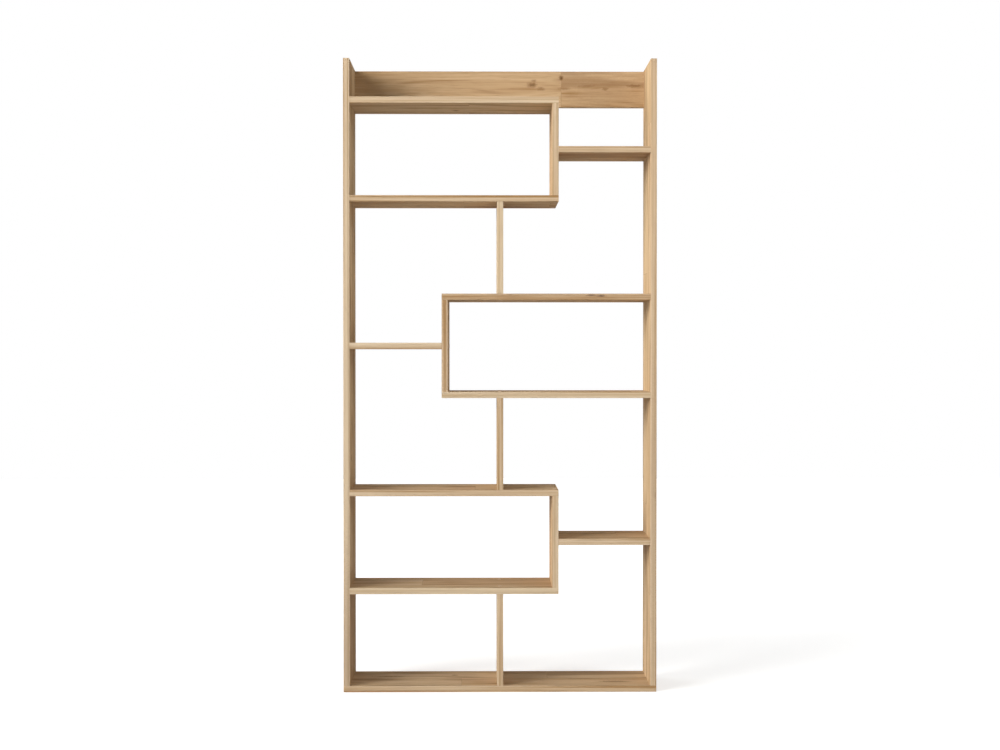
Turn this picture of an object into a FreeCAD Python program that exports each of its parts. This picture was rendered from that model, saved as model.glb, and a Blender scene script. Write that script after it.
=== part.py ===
"""Staircase bookshelf: an open-backed case of oak-faced boards whose three boxes step left, right, left.

X runs to the right, Y from the front to the back and Z up, in millimetres. The origin is the middle of the
case on the floor. The boards are screwed and dowelled together, and the screws, dowels and caps take
their places from the same values as the holes they sit in.
"""
import FreeCAD
import Part
import os
import Sketcher
from math import cos, pi, sin

Vector = FreeCAD.Vector

SIZES = {
    # Boards and the plan of the case
    "board_thickness": 18,
    "case_depth": 220,
    "long_shelf_length": 600,
    "short_shelf_length": 264,
    "bay_height": 264,
    "side_rise": 110,
    "rail_height": 107,
    # Edge bands
    "band_thickness": 1,
    "band_round": 0.5,
    # Places of the screws and dowels in a board joint
    "screw_edge_distance": 37,
    "dowel_edge_distance": 69,
    "rail_screw_edge_distance": 22,
    "rail_dowel_inset": 100,
    # Connecting screws with a countersunk head and a hex socket
    "screw_length": 50,
    "screw_head_diameter": 10,
    "screw_head_rim": 1,
    "screw_head_sink": 0.4,
    "screw_shank_diameter": 7,
    "screw_shank_length": 14,
    "screw_thread_diameter": 7,
    "screw_core_diameter": 4.8,
    "screw_thread_pitch": 4,
    "screw_thread_width": 1.6,
    "screw_tip_length": 5,
    "screw_socket_width": 4,
    "screw_socket_depth": 3.5,
    # Dowels
    "dowel_diameter": 8,
    "dowel_length": 30,
    "dowel_face_depth": 10,
    "dowel_chamfer": 1,
    "dowel_end_gap": 1,
    # Press-in caps over the screw heads
    "cap_diameter": 13,
    "cap_thickness": 1.2,
    "cap_round": 0.8,
    "cap_peg_length": 2.5,
    # Keyhole plates let into the back of the rail, for two screws in a wall
    "hanger_spacing": 600,
    "hanger_length": 60,
    "hanger_width": 18,
    "hanger_thickness": 2,
    "hanger_entry_diameter": 10,
    "hanger_entry_drop": 6,
    "hanger_slot_width": 5,
    "hanger_slot_length": 13,
    "hanger_pocket_depth": 9,
    "hanger_pocket_margin": 1.5,
    # Small countersunk screws of the keyhole plates
    "plate_screw_length": 12,
    "plate_screw_diameter": 3,
    "plate_screw_head_diameter": 5.6,
    "plate_screw_tip_length": 2,
    "plate_screw_inset": 6,
    # Clearance around what sits in a hole, and the length by which every cut runs past its face
    "fit_clearance": 0.1,
    "cut_overrun": 2,
}

# A round on a thin strip stays under this share of the strip's thickness
ROUND_LIMIT_SHARE = 0.9

# Ways in which a fastener can point, as unit vectors
DIRECTIONS = {
    "+X": Vector(1, 0, 0),
    "-X": Vector(-1, 0, 0),
    "+Z": Vector(0, 0, 1),
    "-Z": Vector(0, 0, -1),
    "-Y": Vector(0, -1, 0),
}

doc = FreeCAD.newDocument("staircase_bookshelf")
sheet = doc.addObject("Spreadsheet::Sheet", "sizes")
for row, (alias, size) in enumerate(SIZES.items(), start=1):
    sheet.set(f"A{row}", str(size))
    sheet.setAlias(f"A{row}", alias)
doc.recompute()

nodes = []


# Lines of the plan, as expressions

BOARD = "sizes.board_thickness"
BAND = "sizes.band_thickness"
FIT = "sizes.fit_clearance"
OVERRUN = "sizes.cut_overrun"
FRONT = "(-sizes.case_depth / 2)"
BACK = "(sizes.case_depth / 2)"
INNER_RIGHT = "((sizes.long_shelf_length + sizes.short_shelf_length) / 2)"
INNER_LEFT = f"(-{INNER_RIGHT})"
OUTER_RIGHT = f"({INNER_RIGHT} + {BOARD})"
OUTER_LEFT = f"(-{OUTER_RIGHT})"
STEP_RIGHT = "((sizes.long_shelf_length - sizes.short_shelf_length) / 2)"
STEP_LEFT = f"(-{STEP_RIGHT})"
HALF_BOARD = f"({BOARD} / 2)"

# Boxes from the floor up. Each has two long shelves, so that levels count upwards from the bottom panel
BOX_NAMES = ("bottom_box", "middle_box", "top_box")
FLOOR_LEVEL = 0


def lower_level(box_name):
    """Level of a box's lower shelf."""
    return FLOOR_LEVEL + 2 * BOX_NAMES.index(box_name) + 1


def upper_level(box_name):
    """Level of a box's upper shelf."""
    return lower_level(box_name) + 1


def on_right(box_name):
    """Whether a box hangs on the right side panel: every second one does."""
    return BOX_NAMES.index(box_name) % 2 == 1


def under(level):
    """Height of the underside of the long shelf at a level."""
    return f"({level} * (sizes.bay_height + {BOARD}))"


def over(level):
    """Height of the top face of the long shelf at a level."""
    return f"({under(level)} + {BOARD})"


def half_way(level):
    """Height of the middle of the bay above a level."""
    return f"({over(level)} + sizes.bay_height / 2)"


def about(middle):
    """Span of one board's thickness about a middle line."""
    return f"({middle} - {HALF_BOARD})", f"({middle} + {HALF_BOARD})"


TOP_LEVEL = upper_level("top_box")
SIDE_TOP = f"({over(TOP_LEVEL)} + sizes.side_rise)"
RAIL_BOTTOM = over(TOP_LEVEL)
RAIL_TOP = f"({RAIL_BOTTOM} + sizes.rail_height)"
RAIL_FRONT = f"({BACK} - {BOARD})"
RAIL_MIDDLE_Y = f"({BACK} - {HALF_BOARD})"
RAIL_MIDDLE_Z = f"({RAIL_BOTTOM} + sizes.rail_height / 2)"


# Helpers that make and bind objects of the document

def number(expression):
    """Present value of an expression."""
    return float(sheet.evalExpression(expression))


def bind(thing, **expressions):
    """Bind properties of an object to expressions."""
    for property_name, expression in expressions.items():
        thing.setExpression(property_name, expression)


def place(thing, x, y, z, direction="+Z"):
    """Bind an object's place to expressions, with its own Z axis turned to a direction."""
    turn = FreeCAD.Rotation(DIRECTIONS["+Z"], DIRECTIONS[direction])
    thing.Placement = FreeCAD.Placement(Vector(), turn)
    thing.setExpression("Placement.Base.x", x)
    thing.setExpression("Placement.Base.y", y)
    thing.setExpression("Placement.Base.z", z)


def block(name, x, y, z):
    """Box between two corners, each axis given as a low and a high expression."""
    box = doc.addObject("Part::Box", name)
    bind(box, Length=f"{x[1]} - {x[0]}", Width=f"{y[1]} - {y[0]}", Height=f"{z[1]} - {z[0]}")
    place(box, x[0], y[0], z[0])
    return box


def group(name, members):
    """Compound of objects."""
    compound = doc.addObject("Part::Compound", name)
    compound.Links = members
    return compound


def cut(name, base, tool):
    """One object less another."""
    result = doc.addObject("Part::Cut", name)
    result.Base = base
    result.Tool = tool
    return result


def copy_of(original, name, x, y, z, direction):
    """Copy of an object that keeps to the original, at a place and in a direction of its own."""
    link = doc.addObject("App::Link", name)
    link.LinkedObject = original
    place(link, x, y, z, direction)
    return link


def node(thing):
    """Take an object into the list of sub-parts, under its own name."""
    thing.Label = thing.Name
    nodes.append(thing)
    return thing


def sketch_on(body, name, role):
    """New sketch on one of the body's own origin planes."""
    sketch = body.newObject("Sketcher::SketchObject", name)
    plane = next(part for part in body.Origin.OriginFeatures if part.Role == role)
    sketch.AttachmentSupport = [(plane, "")]
    sketch.MapMode = "FlatFace"
    return sketch


def outline(sketch, corners):
    """Closed outline of straight lines whose corners are bound to expressions."""
    spots = [Vector(number(x), number(y), 0) for x, y in corners]
    for start, end in zip(spots, spots[1:] + spots[:1]):
        sketch.addGeometry(Part.LineSegment(start, end), False)
    count = len(corners)
    for line, (x, y) in enumerate(corners):
        sketch.addConstraint(Sketcher.Constraint("Coincident", line, 1, (line - 1) % count, 2))
        for kind, expression, axis in (("DistanceX", x, -2), ("DistanceY", y, -1)):
            if expression == "0":
                sketch.addConstraint(Sketcher.Constraint("PointOnObject", line, 1, axis))
                continue
            rule = Sketcher.Constraint(kind, -1, 1, line, 1, number(expression))
            index = sketch.addConstraint(rule)
            sketch.setExpression(f"Constraints[{index}]", expression)


def turned(body, name, corners):
    """Solid of revolution about the body's Z axis from an outline of radius and height."""
    sketch = sketch_on(body, f"{name}_outline", "XZ_Plane")
    outline(sketch, corners)
    revolution = body.newObject("PartDesign::Revolution", name)
    revolution.Profile = sketch
    revolution.ReferenceAxis = (sketch, ["V_Axis"])
    revolution.Angle = 360
    doc.recompute()
    return revolution


def new_body(name):
    """Empty body of the document."""
    return doc.addObject("PartDesign::Body", name)


# Connecting screw, with its origin on the face that its head is sunk into and its tip along +Z

SCREW_HEAD_R = "(sizes.screw_head_diameter / 2)"
SCREW_SHANK_R = "(sizes.screw_shank_diameter / 2)"
SCREW_CORE_R = "(sizes.screw_core_diameter / 2)"
SCREW_THREAD_R = "(sizes.screw_thread_diameter / 2)"
SCREW_BORE_R = f"(max({SCREW_SHANK_R}; {SCREW_THREAD_R}) + {FIT})"
SCREW_TOP = "sizes.screw_head_sink"
SCREW_RIM_END = f"({SCREW_TOP} + sizes.screw_head_rim)"
SCREW_HEAD_END = f"({SCREW_RIM_END} + {SCREW_HEAD_R} - {SCREW_SHANK_R})"
SCREW_SHANK_END = f"({SCREW_TOP} + sizes.screw_shank_length)"
SCREW_TIP = f"({SCREW_TOP} + sizes.screw_length)"
SCREW_TAPER = f"({SCREW_TIP} - sizes.screw_tip_length)"
HEX_CORNERS = 6


def make_screw():
    """Head, shank and core turned in one, with rings for the thread and a hex socket in the head."""
    body = new_body("screw_pattern")
    turned(body, "screw_blank", [
        ("0", SCREW_TOP),
        (SCREW_HEAD_R, SCREW_TOP),
        (SCREW_HEAD_R, SCREW_RIM_END),
        (SCREW_SHANK_R, SCREW_HEAD_END),
        (SCREW_SHANK_R, SCREW_SHANK_END),
        (SCREW_CORE_R, SCREW_SHANK_END),
        (SCREW_CORE_R, SCREW_TAPER),
        ("0", SCREW_TIP),
    ])
    pitch = "sizes.screw_thread_pitch"
    half_width = "(sizes.screw_thread_width / 2)"
    first = f"({SCREW_SHANK_END} + {pitch} / 2)"
    ring = turned(body, "screw_thread_ring", [
        ("0", f"({first} - {half_width})"),
        (SCREW_CORE_R, f"({first} - {half_width})"),
        (SCREW_THREAD_R, first),
        (SCREW_CORE_R, f"({first} + {half_width})"),
        ("0", f"({first} + {half_width})"),
    ])
    rings = f"floor(({SCREW_TAPER} - {SCREW_SHANK_END}) / {pitch})"
    thread = body.newObject("PartDesign::LinearPattern", "screw_thread")
    thread.Originals = [ring]
    thread.Direction = (ring.Profile[0], ["V_Axis"])
    bind(thread, Length=f"({rings} - 1) * {pitch}", Occurrences=rings)
    body.Tip = thread
    doc.recompute()
    before = body.Shape.Volume
    hexagon = sketch_on(body, "screw_socket_outline", "XY_Plane")
    corner_r = f"sizes.screw_socket_width / {2 * cos(pi / HEX_CORNERS)}"
    turns = [2 * pi * corner / HEX_CORNERS for corner in range(HEX_CORNERS)]
    outline(hexagon, [(f"{corner_r} * {cos(turn)}", f"{corner_r} * {sin(turn)}") for turn in turns])
    socket = body.newObject("PartDesign::Pocket", "screw_socket")
    socket.Profile = hexagon
    socket.Reversed = True
    bind(socket, Length=f"{SCREW_TOP} + sizes.screw_socket_depth")
    body.Tip = socket
    doc.recompute()
    if not body.Shape.Volume < before:
        raise RuntimeError("the hex socket cut nothing")
    return body


def make_screw_drill():
    """Stepped hole for a connecting screw, through one board and into the end of the next."""
    body = new_body("screw_drill")
    turned(body, "screw_hole", [
        ("0", f"(-{OVERRUN})"),
        (f"({SCREW_HEAD_R} + {FIT})", f"(-{OVERRUN})"),
        (f"({SCREW_HEAD_R} + {FIT})", SCREW_RIM_END),
        (SCREW_BORE_R, f"({SCREW_RIM_END} + {SCREW_HEAD_R} + {FIT} - {SCREW_BORE_R})"),
        (SCREW_BORE_R, f"({SCREW_TIP} + {OVERRUN})"),
        ("0", f"({SCREW_TIP} + {OVERRUN})"),
    ])
    return body


# Dowel, with its origin on the plane where the two boards meet

DOWEL_R = "(sizes.dowel_diameter / 2)"
DOWEL_LOW = "(-sizes.dowel_face_depth)"
DOWEL_HIGH = "(sizes.dowel_length - sizes.dowel_face_depth)"


def make_dowel():
    """Round dowel with chamfered ends."""
    body = new_body("dowel_pattern")
    end_r = f"({DOWEL_R} - sizes.dowel_chamfer)"
    turned(body, "dowel_blank", [
        ("0", DOWEL_LOW),
        (end_r, DOWEL_LOW),
        (DOWEL_R, f"({DOWEL_LOW} + sizes.dowel_chamfer)"),
        (DOWEL_R, f"({DOWEL_HIGH} - sizes.dowel_chamfer)"),
        (end_r, DOWEL_HIGH),
        ("0", DOWEL_HIGH),
    ])
    return body


def make_dowel_drill():
    """Hole for a dowel, a little longer than the dowel at each end."""
    body = new_body("dowel_drill")
    low = f"({DOWEL_LOW} - sizes.dowel_end_gap)"
    high = f"({DOWEL_HIGH} + sizes.dowel_end_gap)"
    bore_r = f"({DOWEL_R} + {FIT})"
    turned(body, "dowel_hole", [("0", low), (bore_r, low), (bore_r, high), ("0", high)])
    return body


# Cap, with its origin on the board's face and its peg along +Z into the screw's socket

def make_cap():
    """Flat cap with a rounded rim and a peg that presses into the hex socket."""
    body = new_body("cap_pattern")
    cap_r = "(sizes.cap_diameter / 2)"
    peg_r = f"(sizes.screw_socket_width / 2 - {FIT})"
    blank = turned(body, "cap_blank", [
        ("0", "(-sizes.cap_thickness)"),
        (cap_r, "(-sizes.cap_thickness)"),
        (cap_r, "0"),
        (peg_r, "0"),
        (peg_r, "sizes.cap_peg_length"),
        ("0", "sizes.cap_peg_length"),
    ])
    top = min(blank.Shape.Edges, key=lambda edge: (edge.BoundBox.ZMax, -edge.BoundBox.XLength))
    index = next(i for i, edge in enumerate(blank.Shape.Edges, start=1) if edge.isSame(top))
    rim = body.newObject("PartDesign::Fillet", "cap_rim")
    rim.Base = (blank, [f"Edge{index}"])
    bind(rim, Radius=f"min(sizes.cap_round; sizes.cap_thickness * {ROUND_LIMIT_SHARE})")
    body.Tip = rim
    doc.recompute()
    return body


screw_pattern = make_screw()
screw_drill = make_screw_drill()
dowel_pattern = make_dowel()
dowel_drill = make_dowel_drill()
cap_pattern = make_cap()


# Boards and their edge bands

blanks = {}
bands = {}
drills = {}


def band_strip(name, x, y, z, side, grain):
    """Strip of edge band with its two long outer edges rounded."""
    strip = block(name, x, y, z)
    doc.recompute()
    box = strip.Shape.BoundBox
    faces = {
        "front": ("y", box.YMin),
        "back": ("y", box.YMax),
        "left": ("x", box.XMin),
        "right": ("x", box.XMax),
        "bottom": ("z", box.ZMin),
        "top": ("z", box.ZMax),
    }
    axis, face = faces[side]
    radius = number(f"min(sizes.band_round; {BAND} * {ROUND_LIMIT_SHARE})")
    edges = []
    for index, edge in enumerate(strip.Shape.Edges, start=1):
        along = edge.Vertexes[1].Point - edge.Vertexes[0].Point
        lies_along = abs(getattr(along, grain)) > along.Length / 2
        on_face = abs(getattr(edge.CenterOfMass, axis) - face) < radius / 2
        if lies_along and on_face:
            edges.append((index, radius, radius))
    rounded = doc.addObject("Part::Fillet", f"{name}_rounded")
    rounded.Base = strip
    rounded.Edges = edges
    return rounded


def board(name, x, z, grain, ends=(), y=(FRONT, BACK), edges=("front", "back")):
    """Board of a finished size: a core, and bands on its two long edges and its free ends."""
    banded = set(edges) | set(ends)
    core = {"x": list(x), "y": list(y), "z": list(z)}
    for axis, low, high in (("x", "left", "right"), ("y", "front", "back"), ("z", "bottom", "top")):
        if low in banded:
            core[axis][0] = f"({core[axis][0]} + {BAND})"
        if high in banded:
            core[axis][1] = f"({core[axis][1]} - {BAND})"
    blanks[name] = block(f"{name}_blank", core["x"], core["y"], core["z"])
    drills[name] = []
    bands[name] = []
    slices = {
        "left": ("x", (x[0], core["x"][0])),
        "right": ("x", (core["x"][1], x[1])),
        "front": ("y", (y[0], core["y"][0])),
        "back": ("y", (core["y"][1], y[1])),
        "bottom": ("z", (z[0], core["z"][0])),
        "top": ("z", (core["z"][1], z[1])),
    }
    for side in tuple(edges) + tuple(ends):
        spans = {"x": x, "y": core["y"] if side in ends else y, "z": z}
        axis, thickness = slices[side]
        spans[axis] = thickness
        run = "y" if side in ends else grain
        strip = band_strip(f"{name}_{side}_band", spans["x"], spans["y"], spans["z"], side, run)
        bands[name].append(strip)


# Short shelf that each box's divider carries, and centre divider that each box stands on
SHORT_SHELVES = {
    "bottom_box": "lower_right_short_shelf",
    "middle_box": "left_short_shelf",
    "top_box": "upper_right_short_shelf",
}
CENTRE_DIVIDERS = {
    "bottom_box": "lower_centre_divider",
    "middle_box": "middle_centre_divider",
    "top_box": "upper_centre_divider",
}


def divider_middle(box_name):
    """Middle line of a box's divider, at the free end of its shelves."""
    return f"({STEP_LEFT} + {HALF_BOARD})" if on_right(box_name) else f"({STEP_RIGHT} - {HALF_BOARD})"


def make_boards():
    """All nineteen boards, from the bottom panel up."""
    board("bottom_panel", (OUTER_LEFT, OUTER_RIGHT), ("0", BOARD), "x", ends=("left", "right"))
    board("left_side_panel", (OUTER_LEFT, INNER_LEFT), (BOARD, SIDE_TOP), "z", ends=("top",))
    board("right_side_panel", (INNER_RIGHT, OUTER_RIGHT), (BOARD, SIDE_TOP), "z", ends=("top",))
    floor = FLOOR_LEVEL
    for box_name in BOX_NAMES:
        low = lower_level(box_name)
        high = upper_level(box_name)
        long_span = (STEP_LEFT, INNER_RIGHT) if on_right(box_name) else (INNER_LEFT, STEP_RIGHT)
        short_span = (INNER_LEFT, STEP_LEFT) if on_right(box_name) else (STEP_RIGHT, INNER_RIGHT)
        free_end = ("left",) if on_right(box_name) else ("right",)
        board(f"{box_name}_lower_shelf", long_span, (under(low), over(low)), "x", ends=free_end)
        board(f"{box_name}_upper_shelf", long_span, (under(high), over(high)), "x", ends=free_end)
        board(f"{box_name}_divider", about(divider_middle(box_name)), (over(low), under(high)), "z")
        board(SHORT_SHELVES[box_name], short_span, about(half_way(low)), "x")
        board(CENTRE_DIVIDERS[box_name], about("0"), (over(floor), under(low)), "z")
        floor = high
    rail_depth = (RAIL_FRONT, BACK)
    rail_height = (RAIL_BOTTOM, RAIL_TOP)
    board("back_rail", (INNER_LEFT, INNER_RIGHT), rail_height, "x", y=rail_depth, edges=("bottom", "top"))


# Board joints

screws = []
dowels = []
caps = []


def fasten(face_board, end_board, direction, screw_spots, dowel_spots, capped=True):
    """Screws and dowels of one joint, at places on the plane where the two boards meet.

    The screws go through the face board, in the direction given, into the end board.
    """
    sign, axis = direction
    backwards = "-" if sign == "+" else "+"
    for x, y, z in screw_spots:
        outside = {"X": x, "Y": y, "Z": z}
        outside[axis] = f"({outside[axis]} {backwards} {BOARD})"
        spot = (outside["X"], outside["Y"], outside["Z"], direction)
        number_here = len(screws) + 1
        screws.append(copy_of(screw_pattern, f"screw_{number_here}", *spot))
        hole = copy_of(screw_drill, f"screw_hole_{number_here}", *spot)
        drills[face_board].append(hole)
        drills[end_board].append(hole)
        if capped:
            caps.append(copy_of(cap_pattern, f"cap_{number_here}", *spot))
    for x, y, z in dowel_spots:
        number_here = len(dowels) + 1
        dowels.append(copy_of(dowel_pattern, f"dowel_{number_here}", x, y, z, direction))
        hole = copy_of(dowel_drill, f"dowel_hole_{number_here}", x, y, z, direction)
        drills[face_board].append(hole)
        drills[end_board].append(hole)


def deep_joint(face_board, end_board, direction, x, z, capped=True):
    """Joint along the whole depth of the case: a screw near each edge and a dowel further in."""
    screw_spots = []
    dowel_spots = []
    for edge, inwards in ((FRONT, "+"), (BACK, "-")):
        screw_spots.append((x, f"({edge} {inwards} sizes.screw_edge_distance)", z))
        dowel_spots.append((x, f"({edge} {inwards} sizes.dowel_edge_distance)", z))
    fasten(face_board, end_board, direction, screw_spots, dowel_spots, capped)


def middle_of_shelf(level):
    """Height of the middle of the long shelf at a level."""
    return f"({under(level)} + {HALF_BOARD})"


def make_side_joints():
    """Shelf ends on the side panels, and the feet of the side panels on the bottom panel."""
    for box_name in BOX_NAMES:
        low = lower_level(box_name)
        long_end = ("right", "-X", INNER_RIGHT) if on_right(box_name) else ("left", "+X", INNER_LEFT)
        short_end = ("left", "+X", INNER_LEFT) if on_right(box_name) else ("right", "-X", INNER_RIGHT)
        ends = (
            (f"{box_name}_lower_shelf", middle_of_shelf(low), long_end),
            (f"{box_name}_upper_shelf", middle_of_shelf(upper_level(box_name)), long_end),
            (SHORT_SHELVES[box_name], half_way(low), short_end),
        )
        for shelf, height, (side, direction, face) in ends:
            deep_joint(f"{side}_side_panel", shelf, direction, face, height)
    left_foot = f"({OUTER_LEFT} + {HALF_BOARD})"
    right_foot = f"({OUTER_RIGHT} - {HALF_BOARD})"
    deep_joint("bottom_panel", "left_side_panel", "+Z", left_foot, BOARD, capped=False)
    deep_joint("bottom_panel", "right_side_panel", "+Z", right_foot, BOARD, capped=False)


def make_box_joints():
    """Ends of each box divider in its two shelves, and the short shelf that it carries."""
    for box_name in BOX_NAMES:
        low = lower_level(box_name)
        divider = f"{box_name}_divider"
        x = divider_middle(box_name)
        deep_joint(f"{box_name}_lower_shelf", divider, "+Z", x, over(low))
        deep_joint(f"{box_name}_upper_shelf", divider, "-Z", x, under(upper_level(box_name)))
        direction = "-X" if on_right(box_name) else "+X"
        outer_face = STEP_LEFT if on_right(box_name) else STEP_RIGHT
        deep_joint(divider, SHORT_SHELVES[box_name], direction, outer_face, half_way(low))


def make_centre_joints():
    """Foot and head of each centre divider. The heads of the lowest screws face the floor and need no cap."""
    below, floor = "bottom_panel", FLOOR_LEVEL
    for box_name in BOX_NAMES:
        divider = CENTRE_DIVIDERS[box_name]
        deep_joint(below, divider, "+Z", "0", over(floor), capped=floor != FLOOR_LEVEL)
        deep_joint(f"{box_name}_lower_shelf", divider, "-Z", "0", under(lower_level(box_name)))
        below, floor = f"{box_name}_upper_shelf", upper_level(box_name)


def make_rail_joints():
    """Ends of the rail on the side panels, and two dowels that stand it on the top shelf."""
    heights = (
        f"({RAIL_BOTTOM} + sizes.rail_screw_edge_distance)",
        f"({RAIL_TOP} - sizes.rail_screw_edge_distance)",
    )
    for side, direction, x in (("left", "+X", INNER_LEFT), ("right", "-X", INNER_RIGHT)):
        screw_spots = [(x, RAIL_MIDDLE_Y, height) for height in heights]
        dowel_spots = [(x, RAIL_MIDDLE_Y, RAIL_MIDDLE_Z)]
        fasten(f"{side}_side_panel", "back_rail", direction, screw_spots, dowel_spots)
    places = (f"({INNER_LEFT} + sizes.rail_dowel_inset)", f"({STEP_RIGHT} - sizes.rail_dowel_inset)")
    dowel_spots = [(x, RAIL_MIDDLE_Y, RAIL_BOTTOM) for x in places]
    fasten("top_box_upper_shelf", "back_rail", "+Z", [], dowel_spots)


make_boards()
make_side_joints()
make_box_joints()
make_centre_joints()
make_rail_joints()


# Keyhole plates in the back of the rail, drawn about a point of the rail's back face

PLATE_HALF_SPAN = "((sizes.hanger_length - sizes.hanger_width) / 2)"
PLATE_SCREW_Z = "(sizes.hanger_length / 2 - sizes.plate_screw_inset)"
ENTRY_Z = "(-sizes.hanger_entry_drop)"
ENTRY_R = "(sizes.hanger_entry_diameter / 2)"
SLOT_END_Z = f"({ENTRY_Z} + sizes.hanger_slot_length)"
PLATE_SCREW_R = "(sizes.plate_screw_diameter / 2)"
PLATE_SCREW_HEAD_R = "(sizes.plate_screw_head_diameter / 2)"


def round_bar(name, radius, z, y):
    """Cylinder along Y at a height, between a low and a high Y."""
    bar = doc.addObject("Part::Cylinder", name)
    bind(bar, Radius=radius, Height=f"{y[1]} - {y[0]}")
    place(bar, "0", y[1], z, "-Y")
    return bar


def obround(name, radius, z, y):
    """Upright block with round ends about two heights, between a low and a high Y."""
    middle = block(f"{name}_middle", (f"(-{radius})", radius), y, z)
    low = round_bar(f"{name}_low_end", radius, z[0], y)
    high = round_bar(f"{name}_high_end", radius, z[1], y)
    fused = doc.addObject("Part::MultiFuse", name)
    fused.Shapes = [middle, low, high]
    fused.Refine = True
    return fused


def make_plate_screw(name, clearance, top, tip):
    """Countersunk screw, or with a clearance its hole, between the depths of its top and its tip."""
    body = new_body(name)
    head_r = f"({PLATE_SCREW_HEAD_R} + {clearance})"
    shank_r = f"({PLATE_SCREW_R} + {clearance})"
    corners = [
        (shank_r, f"({PLATE_SCREW_HEAD_R} - {PLATE_SCREW_R})"),
        (shank_r, f"({tip} - sizes.plate_screw_tip_length)"),
        ("0", tip),
    ]
    if top != "0":
        corners.insert(0, (head_r, "0"))
    turned(body, f"{name}_blank", [("0", top), (head_r, top)] + corners)
    return body


def make_hangers():
    """Two keyhole plates with their screws, and the recesses for them in the rail."""
    outside = f"(-sizes.hanger_thickness - {FIT})"
    ends = (f"(-{PLATE_HALF_SPAN})", PLATE_HALF_SPAN)
    hook = (ENTRY_Z, SLOT_END_Z)
    through = (f"(-sizes.hanger_thickness - {OVERRUN})", OVERRUN)
    blank = obround("plate_blank", "(sizes.hanger_width / 2)", ends, ("(-sizes.hanger_thickness)", "0"))
    entry = round_bar("keyhole_entry", ENTRY_R, ENTRY_Z, through)
    slot = obround("keyhole_slot", "(sizes.hanger_slot_width / 2)", hook, through)
    plate_screw = make_plate_screw("plate_screw_pattern", "0", "0", "sizes.plate_screw_length")
    hole = f"(sizes.plate_screw_length + {FIT})"
    plate_drill = make_plate_screw("plate_screw_drill", FIT, f"(-{OVERRUN})", hole)
    heights = (f"(-{PLATE_SCREW_Z})", PLATE_SCREW_Z)
    holes = [
        copy_of(plate_drill, f"plate_hole_{end}", "0", "0", height, "-Y")
        for end, height in zip(("low", "high"), heights)
    ]
    keyhole_tools = group("keyhole_tools", [entry, slot] + holes)
    plate = cut("plate_pattern", blank, keyhole_tools)
    recess = obround("plate_recess", f"(sizes.hanger_width / 2 + {FIT})", ends, (outside, OVERRUN))
    pocket_back = f"({outside} - sizes.hanger_pocket_depth)"
    pocket_r = f"({ENTRY_R} + sizes.hanger_pocket_margin)"
    pocket = obround("hook_pocket", pocket_r, hook, (pocket_back, outside))
    plates = []
    plate_screws = []
    for side, x in (("left", "(-sizes.hanger_spacing / 2)"), ("right", "(sizes.hanger_spacing / 2)")):
        spot = (x, BACK, RAIL_MIDDLE_Z)
        plates.append(copy_of(plate, f"plate_{side}", *spot, "+Z"))
        drills["back_rail"].append(copy_of(recess, f"plate_recess_{side}", *spot, "+Z"))
        drills["back_rail"].append(copy_of(pocket, f"hook_pocket_{side}", *spot, "+Z"))
        for end, height in zip(("low", "high"), heights):
            screw_spot = (x, BACK, f"({RAIL_MIDDLE_Z} + {height})", "-Y")
            plate_screws.append(copy_of(plate_screw, f"plate_screw_{side}_{end}", *screw_spot))
            drills["back_rail"].append(copy_of(plate_drill, f"plate_screw_hole_{side}_{end}", *screw_spot))
    node(group("wall_hanger_plates", plates))
    node(group("wall_hanger_screws", plate_screws))


make_hangers()


# Sub-parts

for board_name, blank in blanks.items():
    tools = group(f"{board_name}_drills", drills[board_name])
    node(cut(board_name, blank, tools))
    if board_name == "back_rail":
        strips = group("back_rail_strips", bands[board_name])
        node(cut("back_rail_edge_band", strips, tools))
    else:
        node(group(f"{board_name}_edge_band", bands[board_name]))
node(group("assembly_screws", screws))
node(group("wood_dowels", dowels))
node(group("screw_caps", caps))
doc.recompute()

for thing in doc.Objects:
    if "Invalid" in thing.State or "Error" in thing.State:
        raise RuntimeError(f"{thing.Label} failed: {thing.State}")
for thing in nodes:
    if thing.Shape.isNull() or not thing.Shape.isValid():
        raise RuntimeError(f"{thing.Label} has no valid shape")

os.makedirs("parts", exist_ok=True)
for thing in nodes:
    thing.Shape.exportStep(f"parts/{thing.Label}.step")
    box = thing.Shape.BoundBox
    print(f"{thing.Label}: {len(thing.Shape.Solids)} solids, {thing.Shape.Volume / 1000:.1f} cm3, "
          f"{box.XLength:.1f} x {box.YLength:.1f} x {box.ZLength:.1f} mm")
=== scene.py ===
"""Looks of a staircase bookshelf, laid out as an add-on.

The frame gives the boards, screws, dowels, caps and keyhole plates at their real places. The operators here
print the oak decor on the boards, model the edge bands and the screw caps, finish the fittings and set up
the stage. Everything is in metres: X to the right, Y from the front to the back, Z up.
"""
import random
from collections import namedtuple
from math import cos, pi, radians, sin

import bmesh
import bpy
from mathutils import Euler, Matrix, Vector


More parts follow.
